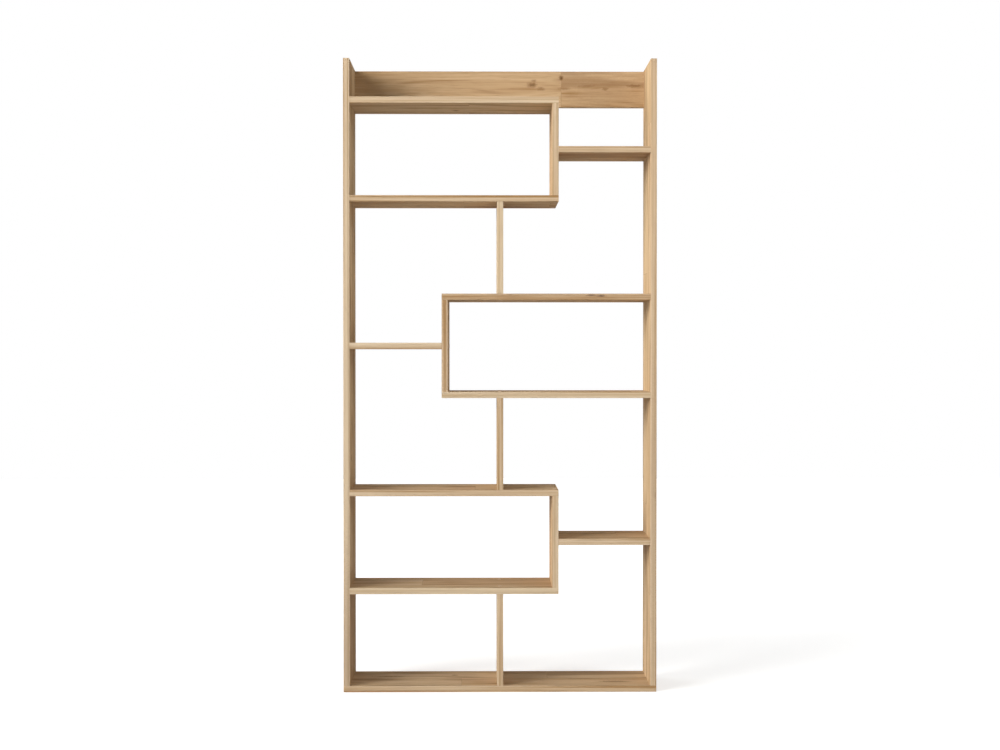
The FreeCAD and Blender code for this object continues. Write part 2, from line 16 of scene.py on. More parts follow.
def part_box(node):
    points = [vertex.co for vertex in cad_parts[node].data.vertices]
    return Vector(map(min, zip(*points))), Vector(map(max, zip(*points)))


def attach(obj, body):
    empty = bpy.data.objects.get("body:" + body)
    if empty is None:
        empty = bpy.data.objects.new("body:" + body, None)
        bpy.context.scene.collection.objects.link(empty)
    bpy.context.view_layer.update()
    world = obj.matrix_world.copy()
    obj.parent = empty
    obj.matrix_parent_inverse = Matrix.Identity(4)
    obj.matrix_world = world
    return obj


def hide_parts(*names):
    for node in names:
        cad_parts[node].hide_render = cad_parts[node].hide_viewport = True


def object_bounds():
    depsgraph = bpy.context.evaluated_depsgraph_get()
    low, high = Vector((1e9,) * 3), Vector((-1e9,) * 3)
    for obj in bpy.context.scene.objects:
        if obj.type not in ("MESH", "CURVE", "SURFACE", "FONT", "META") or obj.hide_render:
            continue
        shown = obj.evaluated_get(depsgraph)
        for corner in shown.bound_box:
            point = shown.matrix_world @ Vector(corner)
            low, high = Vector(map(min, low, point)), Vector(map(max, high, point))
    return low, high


bl_info = {
    "name": "Staircase bookshelf looks",
    "version": (1, 0, 0),
    "blender": (4, 5, 0),
    "location": "View3D > Sidebar > Bookshelf",
    "description": "Prints the oak, models the edge bands and caps, finishes the fittings, sets the stage",
    "category": "Object",
}

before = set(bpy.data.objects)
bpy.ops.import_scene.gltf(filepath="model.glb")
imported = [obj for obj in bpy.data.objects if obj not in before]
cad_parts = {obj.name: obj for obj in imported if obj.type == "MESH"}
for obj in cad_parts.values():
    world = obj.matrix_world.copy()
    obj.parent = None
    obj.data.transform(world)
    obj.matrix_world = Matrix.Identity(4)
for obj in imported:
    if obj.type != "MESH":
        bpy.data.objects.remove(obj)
CAD_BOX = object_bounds()

BODY = "root"
BAND_SUFFIX = "_edge_band"
BOARDS = sorted(name[:-len(BAND_SUFFIX)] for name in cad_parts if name.endswith(BAND_SUFFIX))
AXES = (0, 1, 2)


def srgb(red, green, blue):
    """Linear colour of a display colour given from 0 to 255, by the curve that displays use."""
    shares = (channel / 255 for channel in (red, green, blue))
    return tuple(s / 12.92 if s <= 0.04045 else ((s + 0.055) / 1.055) ** 2.4 for s in shares)


def opaque(colour):
    """Colour with an alpha of one, as a node's socket takes it."""
    return (*colour, 1.0)


# Middle of a share, a chance or a noise, which all go from zero to one
MIDDLE = 0.5

BLACK = opaque((0.0, 0.0, 0.0))
GREY = opaque((MIDDLE, MIDDLE, MIDDLE))
WHITE = opaque((1.0, 1.0, 1.0))


# Settings that a user would change

class OakPrintSettings(bpy.types.PropertyGroup):
    """The printed oak decor of the boards and their bands."""
    light: bpy.props.FloatVectorProperty(
        name="Light grain", description="Colour of the early wood", subtype="COLOR",
        default=srgb(216, 189, 152))
    body: bpy.props.FloatVectorProperty(
        name="Body", description="Colour that most of the print has", subtype="COLOR",
        default=srgb(199, 168, 129))
    deep: bpy.props.FloatVectorProperty(
        name="Deep grain", description="Colour of the late wood", subtype="COLOR",
        default=srgb(166, 130, 87))
    # The streak colour is also laid over the side panels' lower parts as painted shade, through the listed
    # marks
    streak: bpy.props.FloatVectorProperty(
        name="Streak", description="Colour of dark streaks", subtype="COLOR", default=srgb(133, 94, 57))
    knot: bpy.props.FloatVectorProperty(
        name="Knot", description="Colour of a knot's heart", subtype="COLOR", default=srgb(88, 58, 36))
    rosy: bpy.props.FloatVectorProperty(
        name="Rosy plank", description="Tint of the redder planks", subtype="COLOR",
        default=srgb(252, 248, 244))
    olive: bpy.props.FloatVectorProperty(
        name="Olive plank", description="Tint of the greener planks", subtype="COLOR",
        default=srgb(250, 249, 243))
    pale: bpy.props.FloatVectorProperty(
        name="Pale veil", description="Colour that veils the print of the bands", subtype="COLOR",
        default=srgb(234, 223, 203))
    plank_width: bpy.props.FloatProperty(
        name="Plank width", description="Width of a printed plank", unit="LENGTH", default=0.118)
    plank_length: bpy.props.FloatProperty(
        name="Plank length", description="Length of a printed plank", unit="LENGTH", default=0.68)
    plank_seam: bpy.props.FloatProperty(
        name="Plank seam", description="Width of the line between planks", unit="LENGTH", default=0.0007)
    plank_sway: bpy.props.FloatProperty(
        name="Plank sway", description="How far the seams between planks wander", unit="LENGTH",
        default=0.02)
    ring_width: bpy.props.FloatProperty(
        name="Ring width", description="Width of a growth ring", unit="LENGTH", default=0.0085)
    band_veil: bpy.props.FloatProperty(
        name="Band veil", description="Strength of that veil on the lightest grain", subtype="FACTOR",
        default=0.27)
    band_figure: bpy.props.FloatProperty(
        name="Band figure", description="Strength of the grain's arches on the bands", subtype="FACTOR",
        default=0.25)
    band_lines: bpy.props.FloatProperty(
        name="Band lines", description="Strength of the grain's lines on the bands", default=2.4)
    band_planks: bpy.props.FloatProperty(
        name="Band planks", description="How far planks on the bands differ in tone", subtype="FACTOR",
        default=0.4)
    band_along: bpy.props.FloatProperty(
        name="Band along", description="Print's travel along a band, as a share of its travel on a board",
        default=0.5)
    band_across: bpy.props.FloatProperty(
        name="Band across", description="Print's travel across a band, as a share of its travel on a board",
        default=2.2)
    board_lines: bpy.props.FloatProperty(
        name="Board lines", description="Strength of the grain's lines on the boards", default=1.3)
    board_planks: bpy.props.FloatProperty(
        name="Board planks", description="How far planks on the boards differ in tone", subtype="FACTOR",
        default=0.25)
    board_tone: bpy.props.FloatProperty(
        name="Board tone", description="How much lighter the boards are printed, to offset their streaks",
        default=0.1)
    board_streaks: bpy.props.FloatProperty(
        name="Board streaks", description="Strength of the broad streaks on the boards", subtype="FACTOR",
        default=0.5)
    pore_depth: bpy.props.FloatProperty(
        name="Pore depth", description="Depth of the embossed pores", unit="LENGTH", default=0.00012)
    roughness: bpy.props.FloatProperty(
        name="Roughness", description="Roughness of the satin face", subtype="FACTOR", default=0.78)
    gloss: bpy.props.FloatProperty(
        name="Gloss", description="Specular level of the satin face", subtype="FACTOR", default=0.1)


class EdgeBandSettings(bpy.types.PropertyGroup):
    """The strips glued on the boards' edges."""
    edge_round: bpy.props.FloatProperty(
        name="Edge round", description="Round on the outer long edges", unit="LENGTH", default=0.0009)
    seam: bpy.props.FloatProperty(
        name="Glue seam", description="Break of the edges at the glue line", unit="LENGTH", default=0.0002)
    round_segments: bpy.props.IntProperty(
        name="Round segments", description="Facets in each round", default=4)


class ScrewCapSettings(bpy.types.PropertyGroup):
    """The press-in caps over the screw heads."""
    colour: bpy.props.FloatVectorProperty(
        name="Colour", description="Colour of the plastic", subtype="COLOR", default=srgb(204, 174, 138))
    facets: bpy.props.IntProperty(
        name="Facets", description="Sides of the round", default=40)
    rim_share: bpy.props.FloatProperty(
        name="Rim share", description="Upright part of the rim, as a share of the thickness",
        subtype="FACTOR", default=0.3)
    crown_rings: bpy.props.IntProperty(
        name="Crown rings", description="Rings of faces from the rim to the flat top", default=6)
    flat_share: bpy.props.FloatProperty(
        name="Flat share", description="Flat top's radius as a share of the cap's", subtype="FACTOR",
        default=0.35)


class FittingSettings(bpy.types.PropertyGroup):
    """The zinc-plated screws and plates, and the beech dowels."""
    zinc_dull: bpy.props.FloatVectorProperty(
        name="Dull zinc", description="Colour of the clouded plate", subtype="COLOR",
        default=srgb(196, 197, 200))
    zinc_bright: bpy.props.FloatVectorProperty(
        name="Bright zinc", description="Colour of the clear plate", subtype="COLOR",
        default=srgb(219, 216, 206))
    beech_deep: bpy.props.FloatVectorProperty(
        name="Deep beech", description="Colour of the late wood", subtype="COLOR",
        default=srgb(205, 170, 132))
    beech_light: bpy.props.FloatVectorProperty(
        name="Light beech", description="Colour of the early wood", subtype="COLOR",
        default=srgb(228, 199, 164))
    beech_fleck: bpy.props.FloatVectorProperty(
        name="Fleck", description="Colour of the short flecks", subtype="COLOR", default=srgb(158, 113, 78))


class StageSettings(bpy.types.PropertyGroup):
    """Camera, lamps, floor and background."""
    camera_place: bpy.props.FloatVectorProperty(
        name="Camera place", description="Where the camera stands", subtype="TRANSLATION",
        default=(-0.0457, -4.7736, 0.9677))
    camera_aim: bpy.props.FloatVectorProperty(
        name="Camera aim", description="Point that the camera looks at", subtype="TRANSLATION",
        default=(0.0006, 0.0, 0.9110))
    camera_lens: bpy.props.FloatProperty(
        name="Lens", description="Focal length in millimetres", unit="CAMERA", default=58.49)
    key_place: bpy.props.FloatVectorProperty(
        name="Key place", description="Where the key lamp stands", subtype="TRANSLATION",
        default=(-9.23, -7.75, 5.78))
    key_aim: bpy.props.FloatVectorProperty(
        name="Key aim", description="Point that the key lamp shines at", subtype="TRANSLATION",
        default=(3.0, 0.0, 3.9))
    key_spread: bpy.props.FloatProperty(
        name="Key spread", description="Angle that the key lamp's grid lets through", subtype="ANGLE",
        default=radians(66))
    key_size: bpy.props.FloatProperty(
        name="Key size", description="Width of the key lamp", unit="LENGTH", default=7.0)
    key_power: bpy.props.FloatProperty(
        name="Key power", description="Power of the key lamp", unit="POWER", default=378.0)
    side_place: bpy.props.FloatVectorProperty(
        name="Side place", description="Where the side lamp stands", subtype="TRANSLATION",
        default=(-8.18, -3.64, 1.85))
    side_size: bpy.props.FloatProperty(
        name="Side size", description="Width of the side lamp", unit="LENGTH", default=4.0)
    side_power: bpy.props.FloatProperty(
        name="Side power", description="Power of the side lamp", unit="POWER", default=110.0)
    fill_place: bpy.props.FloatVectorProperty(
        name="Fill place", description="Where the fill lamp stands", subtype="TRANSLATION",
        default=(4.5, -2.6, 3.91))
    fill_size: bpy.props.FloatProperty(
        name="Fill size", description="Width of the fill lamp", unit="LENGTH", default=3.0)
    fill_power: bpy.props.FloatProperty(
        name="Fill power", description="Power of the fill lamp", unit="POWER", default=85.0)
    back_place: bpy.props.FloatVectorProperty(
        name="Back place", description="Where the back lamp stands", subtype="TRANSLATION",
        default=(-4.26, 2.98, 3.91))
    back_size: bpy.props.FloatProperty(
        name="Back size", description="Width of the back lamp", unit="LENGTH", default=3.0)
    back_power: bpy.props.FloatProperty(
        name="Back power", description="Power of the back lamp", unit="POWER", default=70.0)
    sky_strength: bpy.props.FloatProperty(
        name="Sky strength", description="Light from all round", default=0.16)
    floor_size: bpy.props.FloatProperty(
        name="Floor size", description="Width of the floor", unit="LENGTH", default=16.0)
    floor_colour: bpy.props.FloatVectorProperty(
        name="Floor colour", description="Colour of the floor", subtype="COLOR",
        default=srgb(236, 236, 235))
    near_lift: bpy.props.FloatProperty(
        name="Near lift", description="White that the eye sees over the floor's own light, near the object",
        subtype="FACTOR", default=0.58)
    far_lift: bpy.props.FloatProperty(
        name="Far lift", description="The same far off, where less light falls on the floor",
        subtype="FACTOR", default=0.8)
    lift_start: bpy.props.FloatProperty(
        name="Lift start", description="Distance at which the lift starts to grow", unit="LENGTH",
        default=0.9)
    lift_end: bpy.props.FloatProperty(
        name="Lift end", description="Distance at which the lift is at its far level", unit="LENGTH",
        default=3.0)


# Node trees

class NodeBench:
    """Adds nodes to one tree, and sets or links their inputs by name or number."""

    def __init__(self, tree):
        self.tree = tree

    def add(self, kind, inputs=None, **settings):
        """New node of a kind, with its settings and inputs."""
        node = self.tree.nodes.new(kind)
        for name, value in settings.items():
            setattr(node, name, value)
        self.set_inputs(node, inputs or {})
        return node

    def set_inputs(self, node, inputs):
        """Links or sets a node's inputs."""
        for key, value in inputs.items():
            if isinstance(value, bpy.types.NodeSocket):
                self.tree.links.new(value, node.inputs[key])
            else:
                node.inputs[key].default_value = value

    def place(self):
        """Place on the object, in metres."""
        return self.add("ShaderNodeTexCoord").outputs["Object"]

    def axis(self, vector, name):
        """One axis of a vector."""
        return self.add("ShaderNodeSeparateXYZ", {"Vector": vector}).outputs[name]

    def chance_of(self, colour):
        """First channel of a chance colour."""
        return self.add("ShaderNodeSeparateColor", {"Color": colour}).outputs[0]

    def number(self, operation, *values):
        """Result of a sum on numbers."""
        return self.add("ShaderNodeMath", dict(enumerate(values)), operation=operation).outputs[0]

    def vector(self, operation, *values):
        """Result of a sum on vectors."""
        node = self.add("ShaderNodeVectorMath", dict(enumerate(values)), operation=operation)
        return node.outputs["Vector"]

    def scaled(self, vector, share):
        """Vector times a number."""
        node = self.add("ShaderNodeVectorMath", {0: vector, "Scale": share}, operation="SCALE")
        return node.outputs["Vector"]

    def length(self, vector):
        """Length of a vector."""
        return self.add("ShaderNodeVectorMath", {0: vector}, operation="LENGTH").outputs["Value"]

    def about_zero(self, value):
        """Value from zero to one, moved so that it swings evenly about zero."""
        return self.number("SUBTRACT", value, MIDDLE)

    def bump(self, height, depth):
        """Normal of a surface whose relief has a depth in metres."""
        return self.add("ShaderNodeBump", {"Height": height, "Distance": depth}).outputs["Normal"]

    def ease(self, value, start, end, first=0.0, last=1.0):
        """Value eased from first to last as it goes from start to end."""
        limits = {"Value": value, "From Min": start, "From Max": end, "To Min": first, "To Max": last}
        return self.add("ShaderNodeMapRange", limits, interpolation_type="SMOOTHSTEP").outputs["Result"]

    def noise(self, vector, stretch, detail=2.0, warp=0.0):
        """Noise whose grains per metre differ along the three axes."""
        stretched = self.vector("MULTIPLY", vector, stretch)
        inputs = {"Vector": stretched, "Scale": 1.0, "Detail": detail, "Distortion": warp}
        return self.add("ShaderNodeTexNoise", inputs).outputs[0]

    def blend(self, share, below, above, way="MIX"):
        """Colour above laid over the colour below; the mix node's colour sockets go by number."""
        node = self.add("ShaderNodeMix", data_type="RGBA", blend_type=way)
        self.set_inputs(node, {0: share, 6: below, 7: above})
        return node.outputs[2]


def new_group(name, inputs, outputs):
    """Empty node group with named sockets, its bench and its two end nodes."""
    tree = bpy.data.node_groups.new(name, "ShaderNodeTree")
    for socket, kind in inputs.items():
        tree.interface.new_socket(name=socket, in_out="INPUT", socket_type=kind)
    for socket, kind in outputs.items():
        tree.interface.new_socket(name=socket, in_out="OUTPUT", socket_type=kind)
    bench = NodeBench(tree)
    return bench, bench.add("NodeGroupInput"), bench.add("NodeGroupOutput")


def new_material(name):
    """Material with a fresh tree: its bench and its principled shader."""
    material = bpy.data.materials.new(name)
    material.use_nodes = True
    material.node_tree.nodes.clear()
    bench = NodeBench(material.node_tree)
    shader = bench.add("ShaderNodeBsdfPrincipled")
    bench.add("ShaderNodeOutputMaterial", {"Surface": shader.outputs["BSDF"]})
    return material, bench, shader


# Oak print

# Grains per metre in the layers of the print: along the grain, across it and through the board
SWAY_GRAINS = (1.1, 0.4, 0.0)
RING_WANDER_GRAINS = (1.6, 7.0, 0.0)
RING_RAG_GRAINS = (5.0, 70.0, 10.0)
KNOT_RAG_GRAINS = (160.0, 260.0, 40.0)
CLOUD_GRAINS = (0.9, 13.0, 4.0)
STREAK_GRAINS = (1.6, 60.0, 9.0)
LINE_GRAINS = (5.0, 320.0, 60.0)
BROAD_GRAINS = (2.4, 21.0, 4.0)
DARK_GRAINS = (2.0, 32.0, 6.0)
PORE_GRAINS = (26.0, 900.0, 300.0)

# Planks: rows after which their shift repeats, the shift as a share of their length, how soft their seams
# are, and how far apart in the noise the grains of two planks may lie
ROW_PERIOD = 2
PLANK_STAGGER = 0.37
SEAM_SOFTNESS = 0.3
PLANK_JUMP = (3.1, 1.7, 2.3)


def lay_planks(bench, place, oak):
    """Printed planks: their seams, a chance number for each plank, and the way across it from its middle."""
    sway = bench.about_zero(bench.noise(place, SWAY_GRAINS, detail=1.0))
    drift = bench.add("ShaderNodeCombineXYZ", {"Y": bench.number("MULTIPLY", sway, oak.plank_sway)})
    swayed = bench.vector("ADD", place, drift.outputs["Vector"])
    planks = bench.add(
        "ShaderNodeTexBrick",
        {
            "Vector": swayed, "Color1": BLACK, "Color2": WHITE, "Mortar": GREY, "Scale": 1.0,
            "Mortar Size": oak.plank_seam, "Mortar Smooth": SEAM_SOFTNESS, "Brick Width": oak.plank_length,
            "Row Height": oak.plank_width,
        },
        offset=PLANK_STAGGER,
        offset_frequency=ROW_PERIOD,
    )
    chance = bench.chance_of(planks.outputs["Color"])
    row = bench.number("FRACT", bench.number("DIVIDE", bench.axis(swayed, "Y"), oak.plank_width))
    from_middle = bench.number("MULTIPLY", bench.about_zero(row), oak.plank_width)
    return planks.outputs["Fac"], chance, from_middle


# Growth rings, in metres: depth of the trunk's heart below the print, how far it swings and wanders, and how
# ragged the rings are; then the swing's radians for each metre, and the most between two planks
HEART_DEPTH = 0.06
HEART_SWING = 0.028
HEART_WANDER = 0.05
RING_RAG = 0.006
SWING_PER_METRE = 3.3
SWING_JUMP = 40.0


def grow_rings(bench, place, chance, from_middle, oak):
    """Growth rings of a trunk that lies a little below the plank, so that its cut shows pointed arches."""
    start = bench.number("MULTIPLY", chance, SWING_JUMP)
    turn = bench.number("MULTIPLY_ADD", bench.axis(place, "X"), SWING_PER_METRE, start)
    wander = bench.about_zero(bench.noise(place, RING_WANDER_GRAINS))
    depth = bench.number("MULTIPLY_ADD", wander, HEART_WANDER, HEART_DEPTH)
    depth = bench.number("MULTIPLY_ADD", bench.number("SINE", turn), HEART_SWING, depth)
    squares = [bench.number("POWER", side, 2.0) for side in (from_middle, depth)]
    radius = bench.number("SQRT", bench.number("ADD", *squares))
    ragged = bench.about_zero(bench.noise(place, RING_RAG_GRAINS))
    radius = bench.number("MULTIPLY_ADD", ragged, RING_RAG, radius)
    wave = bench.number("SINE", bench.number("MULTIPLY", radius, 2 * pi / oak.ring_width))
    return bench.number("MULTIPLY_ADD", wave, MIDDLE, MIDDLE)


# Knots by chance: cells per metre that may hold one, the chance over which a cell does, half the sizes of
# the largest in metres, how ragged they are, and the fall and strength of their push on the grain round them
KNOT_CELLS = (1.15, 3.6, 0.0)
KNOT_CHANCE = 0.45
KNOT_HALVES = (0.016, 0.008, 1.0)
KNOT_RAG = 0.9
PUSH_FALL = -0.35
PUSH_STRENGTH = -0.75

# Fades: the values that they go between, and the results there unless these are zero and one. First a knot's
# size by its cell's chance, and how deep a place lies in it by its reach
KNOT_SIZES = (0.35, 1.0, 0.1, 1.0)
KNOT_FADE = (0.2, 1.1, 1.0, 0.0)

# The print's axes that lie in the board's face, and the one across the grain
FACE_AXES = (1.0, 1.0, 0.0)
ACROSS_AXIS = (0.0, 1.0, 0.0)


def scatter_knots(bench, place):
    """Knots by chance: how deep in one a place lies, and the place with the grain pushed aside round it."""
    cells = bench.add(
        "ShaderNodeTexVoronoi",
        {"Vector": bench.vector("MULTIPLY", place, KNOT_CELLS), "Scale": 1.0},
        voronoi_dimensions="2D",
    )
    cell_sizes = tuple(1 / count if count else 0.0 for count in KNOT_CELLS)
    middle = bench.vector("MULTIPLY", cells.outputs["Position"], cell_sizes)
    away = bench.vector("SUBTRACT", bench.vector("MULTIPLY", place, FACE_AXES), middle)
    chance = bench.chance_of(cells.outputs["Color"])
    reach = bench.length(bench.vector("DIVIDE", away, KNOT_HALVES))
    reach = bench.number("DIVIDE", reach, bench.ease(chance, *KNOT_SIZES))
    ragged = bench.about_zero(bench.noise(place, KNOT_RAG_GRAINS))
    knot = bench.ease(bench.number("MULTIPLY_ADD", ragged, KNOT_RAG, reach), *KNOT_FADE)
    present = bench.number("GREATER_THAN", chance, KNOT_CHANCE)
    push = bench.number("EXPONENT", bench.number("MULTIPLY", reach, PUSH_FALL))
    push = bench.number("MULTIPLY", bench.number("MULTIPLY", push, present), PUSH_STRENGTH)
    aside = bench.vector("MULTIPLY", away, ACROSS_AXIS)
    pushed = bench.vector("ADD", place, bench.scaled(aside, push))
    return bench.number("MULTIPLY", knot, present), pushed


# Weights of the layers in the grain's tone
CLOUD_WEIGHT = 0.75
RING_WEIGHT = 0.13
STREAK_WEIGHT = 0.75
LINE_WEIGHT = 0.45

# Fades of the three grain colours by tone, of the tints by a plank's chance, and of what lies on top
DEEP_TO_BODY = (0.1, 0.5)
BODY_TO_LIGHT = (0.5, 0.9)
ROSY_FADE = (0.5, 0.1)
OLIVE_FADE = (0.5, 0.9)
BROAD_FADE = (0.5, 0.66)
DARK_FADE = (0.64, 0.8, 0.0, 0.5)
HALO_FADE = (0.0, 0.6, 0.0, 0.6)
HEART_FADE = (0.5, 1.0, 0.0, 0.85)
PORE_FADE = (0.58, 0.72)
VEIL_FADE = (0.0, 0.8)

# How far the noise of clouds and broad streaks, and of dark streaks, is warped
BROAD_WARP = 0.5
DARK_WARP = 0.3

# Strength of knots by chance, pores and seams in the colour, pores in the roughness, and lines in the relief
KNOT_STRENGTH = 0.9
PORE_STRENGTH = 0.3
SEAM_STRENGTH = 0.35
PORE_ROUGHNESS = 0.12
LINE_RELIEF = 0.4


def oak_print_group(oak):
    """Node group that draws the decor: planks, rings, streaks, pores and knots.

    Its vector runs along the grain, across it and through the board, in metres.
    """
    strengths = ("Mark", "Figure", "Lines", "Planks", "Streaks", "Tone", "Veil")
    bench, start, end = new_group(
        "Oak print",
        {"Vector": "NodeSocketVector", **dict.fromkeys(strengths, "NodeSocketFloat")},
        {"Color": "NodeSocketColor", "Roughness": "NodeSocketFloat", "Height": "NodeSocketFloat"},
    )
    given = start.outputs
    knots, place = scatter_knots(bench, given["Vector"])
    seam, chance, from_middle = lay_planks(bench, place, oak)
    own = bench.vector("ADD", place, bench.scaled(PLANK_JUMP, chance))

    # Tone: broad clouds, growth rings, streaks, fine lines and the plank's own
    clouds = bench.noise(own, CLOUD_GRAINS, warp=BROAD_WARP)
    rings = grow_rings(bench, own, chance, from_middle, oak)
    streaks = bench.noise(own, STREAK_GRAINS, detail=3.0)
    lines = bench.noise(own, LINE_GRAINS)
    tone = bench.number("ADD", given["Tone"], MIDDLE)
    for layer, weight in (
        (clouds, CLOUD_WEIGHT),
        (rings, bench.number("MULTIPLY", given["Figure"], RING_WEIGHT)),
        (streaks, bench.number("MULTIPLY", given["Lines"], STREAK_WEIGHT)),
        (lines, bench.number("MULTIPLY", given["Lines"], LINE_WEIGHT)),
        (chance, given["Planks"]),
    ):
        tone = bench.number("MULTIPLY_ADD", bench.about_zero(layer), weight, tone)
    colour = bench.blend(bench.ease(tone, *DEEP_TO_BODY), opaque(oak.deep), opaque(oak.body))
    colour = bench.blend(bench.ease(tone, *BODY_TO_LIGHT), colour, opaque(oak.light))

    # Dark planks lean to red, light ones to green
    colour = bench.blend(bench.ease(chance, *ROSY_FADE), colour, opaque(oak.rosy), "MULTIPLY")
    colour = bench.blend(bench.ease(chance, *OLIVE_FADE), colour, opaque(oak.olive), "MULTIPLY")

    # Broad and dark streaks, knots and listed marks with their halo, pores, plank seams and the veil, one
    # over the other
    broad = bench.ease(bench.noise(own, BROAD_GRAINS, detail=3.0, warp=BROAD_WARP), *BROAD_FADE)
    dark = bench.ease(bench.noise(own, DARK_GRAINS, warp=DARK_WARP), *DARK_FADE)
    mark = bench.number("MAXIMUM", given["Mark"], bench.number("MULTIPLY", knots, KNOT_STRENGTH))
    pores = bench.ease(bench.noise(own, PORE_GRAINS, detail=1.0), *PORE_FADE)
    for share, stain in (
        (bench.number("MULTIPLY", broad, given["Streaks"]), oak.streak),
        (dark, oak.streak),
        # Halo of knots and listed marks in the streak colour; on the side panels' lower parts this is
        # painted shade
        (bench.ease(mark, *HALO_FADE), oak.streak),
        (bench.ease(mark, *HEART_FADE), oak.knot),
        (bench.number("MULTIPLY", pores, PORE_STRENGTH), oak.streak),
        (bench.number("MULTIPLY", seam, SEAM_STRENGTH), oak.streak),
        (bench.number("MULTIPLY", given["Veil"], bench.ease(tone, *VEIL_FADE)), oak.pale),
    ):
        colour = bench.blend(share, colour, opaque(stain))
    bench.set_inputs(end, {
        "Color": colour,
        "Roughness": bench.number("MULTIPLY_ADD", pores, PORE_ROUGHNESS, oak.roughness),
        "Height": bench.number("SUBTRACT", bench.number("MULTIPLY", lines, LINE_RELIEF), pores),
    })
    return bench.tree


# Listed marks: grains per metre of their ragged outline on the object's axes, how ragged it is, and
# their fade by reach
MARK_RAG_GRAINS = (150.0, 150.0, 400.0)
MARK_RAG = 0.9
MARK_FADE = (0.1, 1.0, 1.0, 0.0)


def mark_group():
    """Node group that gives how strongly a point lies in one mark: one at its middle, zero outside."""
    bench, start, end = new_group(
        "Oak mark",
        {"Vector": "NodeSocketVector", "Middle": "NodeSocketVector", "Half sizes": "NodeSocketVector"},
        {"Mark": "NodeSocketFloat"},
    )
    place = start.outputs["Vector"]
    away = bench.vector("SUBTRACT", place, start.outputs["Middle"])
    shares = bench.vector("DIVIDE", away, start.outputs["Half sizes"])
    ragged = bench.about_zero(bench.noise(place, MARK_RAG_GRAINS))
    reach = bench.number("MULTIPLY_ADD", ragged, MARK_RAG, bench.length(shares))
    bench.set_inputs(end, {"Mark": bench.ease(reach, *MARK_FADE)})
    return bench.tree


# A knot or streak of the print, or a broad stretch of painted shade: its middle and half its sizes in
# metres, and how dark it is
Mark = namedtuple("Mark", "middle halves strength")

RAIL_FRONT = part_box("back_rail")[0].y
CASE_FRONT = CAD_BOX[0].y
BOTTOM_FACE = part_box("bottom_panel")[1].z
LEFT_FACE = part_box("left_side_panel")[1].x
MARKS = {
    "back_rail": (
        Mark((0.097, RAIL_FRONT, 1.777), (0.024, 0.01, 0.012), 0.75),
        Mark((0.103, RAIL_FRONT, 1.789), (0.014, 0.01, 0.007), 0.50),
        Mark((0.124, RAIL_FRONT, 1.765), (0.020, 0.01, 0.010), 0.50),
        Mark((0.184, RAIL_FRONT, 1.798), (0.010, 0.01, 0.012), 0.90),
        Mark((0.403, RAIL_FRONT, 1.774), (0.045, 0.01, 0.008), 0.65),
        Mark((0.316, RAIL_FRONT, 1.765), (0.018, 0.01, 0.009), 0.60),
        Mark((0.262, RAIL_FRONT, 1.774), (0.050, 0.01, 0.008), 0.45),
        Mark((0.194, RAIL_FRONT, 1.766), (0.030, 0.01, 0.008), 0.45),
        Mark((0.320, RAIL_FRONT, 1.760), (0.180, 0.04, 0.120), 0.23),
    ),
    "bottom_panel": (
        Mark((0.335, -0.050, BOTTOM_FACE), (0.075, 0.016, 0.01), 0.65),
        Mark((0.250, -0.010, BOTTOM_FACE), (0.110, 0.010, 0.01), 0.45),
        Mark((-0.320, 0.030, BOTTOM_FACE), (0.090, 0.014, 0.01), 0.55),
    ),
    "middle_box_upper_shelf_edge_band": (
        Mark((0.130, CASE_FRONT, 1.144), (0.330, 0.004, 0.007), 0.30),
        Mark((0.262, CASE_FRONT, 1.141), (0.026, 0.004, 0.005), 0.85),
        Mark((0.290, CASE_FRONT, 1.140), (0.020, 0.004, 0.006), 0.95),
        Mark((0.195, CASE_FRONT, 1.142), (0.014, 0.004, 0.003), 0.50),
        Mark((0.028, CASE_FRONT, 1.142), (0.016, 0.004, 0.003), 0.50),
    ),
    "left_side_panel": (
        # Painted shade: a broad darker stretch that makes the inner face darker towards the bottom
        Mark((LEFT_FACE, 0.0, 0.150), (0.04, 0.30, 0.36), 0.30),
    ),
    "left_side_panel_edge_band": (
        # Painted shade: a broad darker stretch that makes the front edge darker towards the bottom
        Mark((-0.441, CASE_FRONT, 0.060), (0.040, 0.040, 0.640), 0.40),
    ),
    "right_side_panel_edge_band": (
        Mark((0.446, CASE_FRONT, 0.565), (0.004, 0.004, 0.030), 0.60),
        Mark((0.441, CASE_FRONT, 0.580), (0.002, 0.004, 0.045), 0.45),
        # Painted shade: a broad darker stretch over the lower part of the front edge
        Mark((0.441, CASE_FRONT, 0.540), (0.040, 0.040, 0.760), 0.27),
    ),
}


def ordered_axes(board):
    """Axes of a board from its box: along the grain, across it, and through its thickness."""
    low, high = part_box(board)
    return sorted(AXES, key=lambda axis: low[axis] - high[axis])


def print_turn(board):
    """Turn that brings a board's grain, width and thickness to the print's three axes."""
    along, across, through = ordered_axes(board)
    rows = [[1.0 if column == axis else 0.0 for column in AXES] for axis in (along, across, through)]
    turn = Matrix(rows)
    if turn.determinant() < 0:
        turn[2] = -turn[2]
    return turn.to_euler("XYZ")


# A board's cut from the endless print, in metres: along the grain, across it and into its depth
Cut = namedtuple("Cut", "along across depth")

# Chosen cuts: the rail has a plank's end at its knot, and on the others two planks meet along the middle
CHOSEN_CUTS = {
    "back_rail": Cut(4.3244, -0.2885, 0.4),
    "bottom_panel": Cut(8.7, 2.714, 0.0),
    "left_side_panel": Cut(18.45, 1.77, 0.0),
    "right_side_panel": Cut(6.95, 3.186, 1.6),
}

